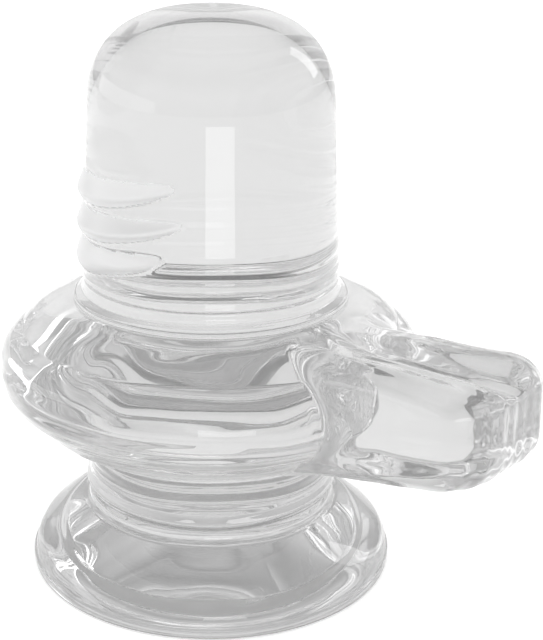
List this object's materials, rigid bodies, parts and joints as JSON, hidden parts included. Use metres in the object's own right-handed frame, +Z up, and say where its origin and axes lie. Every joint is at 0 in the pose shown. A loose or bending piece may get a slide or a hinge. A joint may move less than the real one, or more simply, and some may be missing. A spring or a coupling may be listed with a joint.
{
  "type": "shiva lingam",
  "caption": "Clear glass shiva lingam: a domed pillar with raised bands on a round plate with a channelled spout, over a neck and a rounded foot; stands by its own weight.",
  "frame": {"origin": "centre of the foot's flat underside, on the lingam's axis", "axes": "+Z up along the lingam's axis, +X out along the spout, underside on z = 0"},
  "size_m": [0.0804, 0.06, 0.08],
  "materials": {
    "clear_crystal": "clear, moulded and fire-polished, with soft edges"
  },
  "bodies": {
    "root": {"shiva_lingam": "clear_crystal"}
  },
  "joints": []
}
